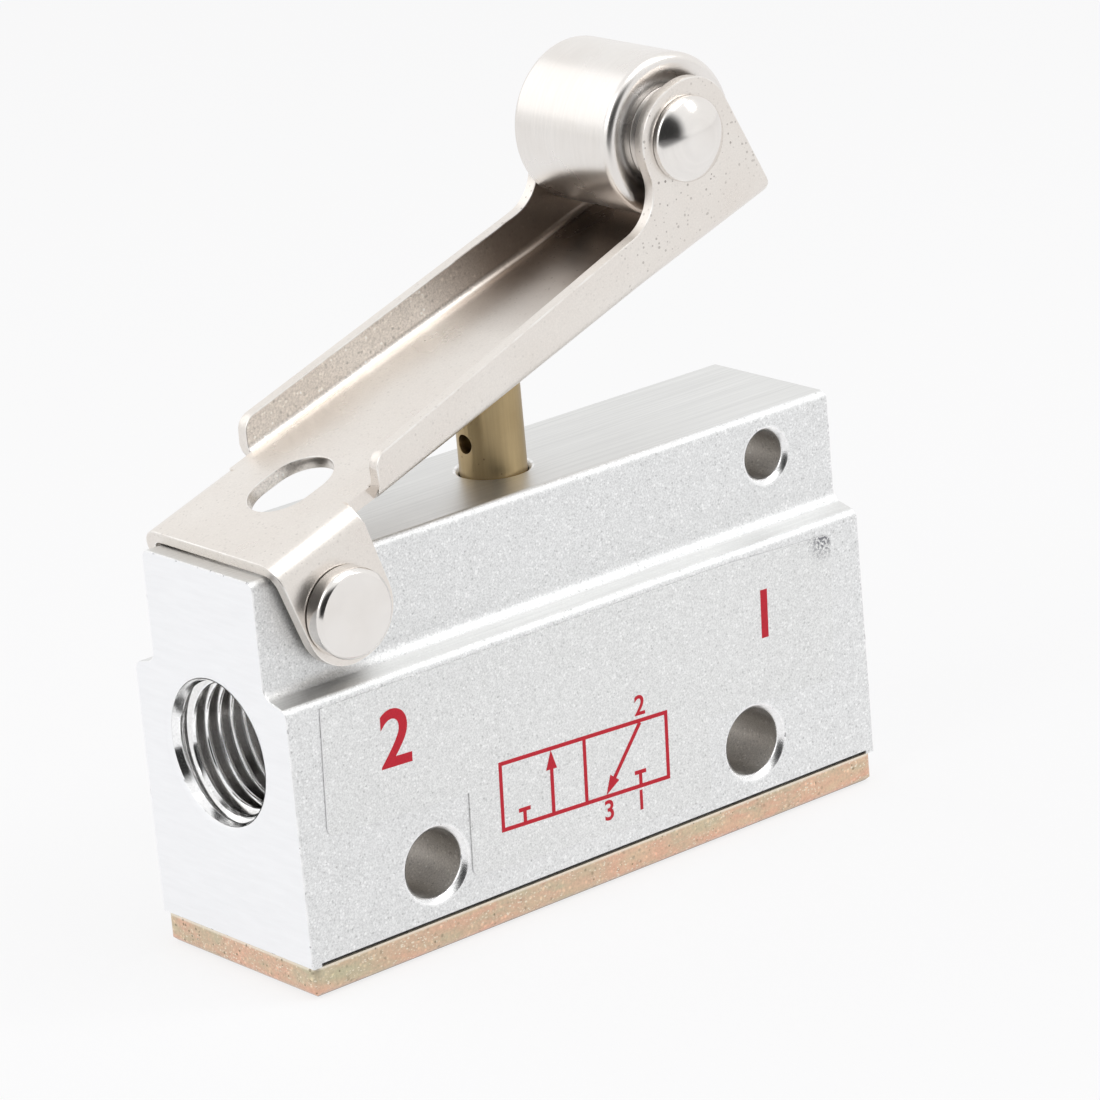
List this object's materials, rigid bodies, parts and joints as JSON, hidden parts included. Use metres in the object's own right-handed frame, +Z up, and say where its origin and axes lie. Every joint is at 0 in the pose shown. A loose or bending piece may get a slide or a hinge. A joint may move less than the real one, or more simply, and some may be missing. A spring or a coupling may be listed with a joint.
{
  "type": "roller lever air valve",
  "caption": "Mechanically operated poppet air valve: stepped aluminium body with threaded end ports, brass plunger and a hinged channel lever with a roller at its tip.",
  "frame": {"origin": "centre of the base plate's underside", "axes": "+Z up through the plunger, -X towards the lever's hinge, -Y out of the printed face"},
  "size_m": [0.065, 0.0229, 0.0709],
  "materials": {
    "aluminium": "blasted and clear anodised, ends bright machined",
    "zinc_steel": "yellow zinc plated",
    "black_rubber": "matt",
    "screw_steel": "zinc plated",
    "brass": "turned, satin",
    "spring_steel": "drawn wire",
    "nickel_sheet": "nickel plated stamped sheet",
    "nickel_turned": "nickel plated, turned",
    "clip_steel": "blackened spring steel",
    "label_film": "silver film"
  },
  "bodies": {
    "housing": {"valve_body": "aluminium", "base_plate": "zinc_steel", "base_gasket": "black_rubber", "base_screws": "screw_steel", "valve_seat": "brass", "seat_ring": "black_rubber", "poppet_spring": "spring_steel", "return_spring": "spring_steel", "pivot_pin": "nickel_turned", "pivot_clip": "clip_steel", "label": "label_film"},
    "lever_arm": {"lever": "nickel_sheet", "roller_axle": "nickel_turned", "axle_sleeve": "spring_steel", "roller_washers": "spring_steel"},
    "roller_wheel": {"roller": "nickel_turned"},
    "plunger_stem": {"plunger": "brass", "plunger_ring": "black_rubber"},
    "poppet_valve": {"poppet": "brass", "poppet_seal": "black_rubber"}
  },
  "joints": [
    {"name": "lever_hinge", "type": "hinge", "parent": "housing", "child": "lever_arm", "pos_m": [-0.0248, 0, 0.03275], "axis": [0, 1, 0], "range_deg": [0, 9], "stiffness_Nm_per_rad": 1, "springref_deg": -8.59},
    {"name": "roller_spin", "type": "hinge", "parent": "lever_arm", "child": "roller_wheel", "pos_m": [0.01777, 0, 0.06364], "axis": [0, 1, 0], "continuous": true},
    {"name": "plunger_slide", "type": "slide", "parent": "housing", "child": "plunger_stem", "axis": [0, 0, -1], "range_m": [0, 0.00425], "deforming": ["return_spring"]},
    {"name": "poppet_slide", "type": "slide", "parent": "housing", "child": "poppet_valve", "axis": [0, 0, -1], "range_m": [0, 0.0028], "deforming": ["poppet_spring"]}
  ],
  "couplings": [
    {"joint": "plunger_slide", "follows": "lever_hinge", "m_per_rad": 0.0265},
    {"joint": "poppet_slide", "follows": "lever_hinge", "m_per_rad": 0.01727}
  ]
}
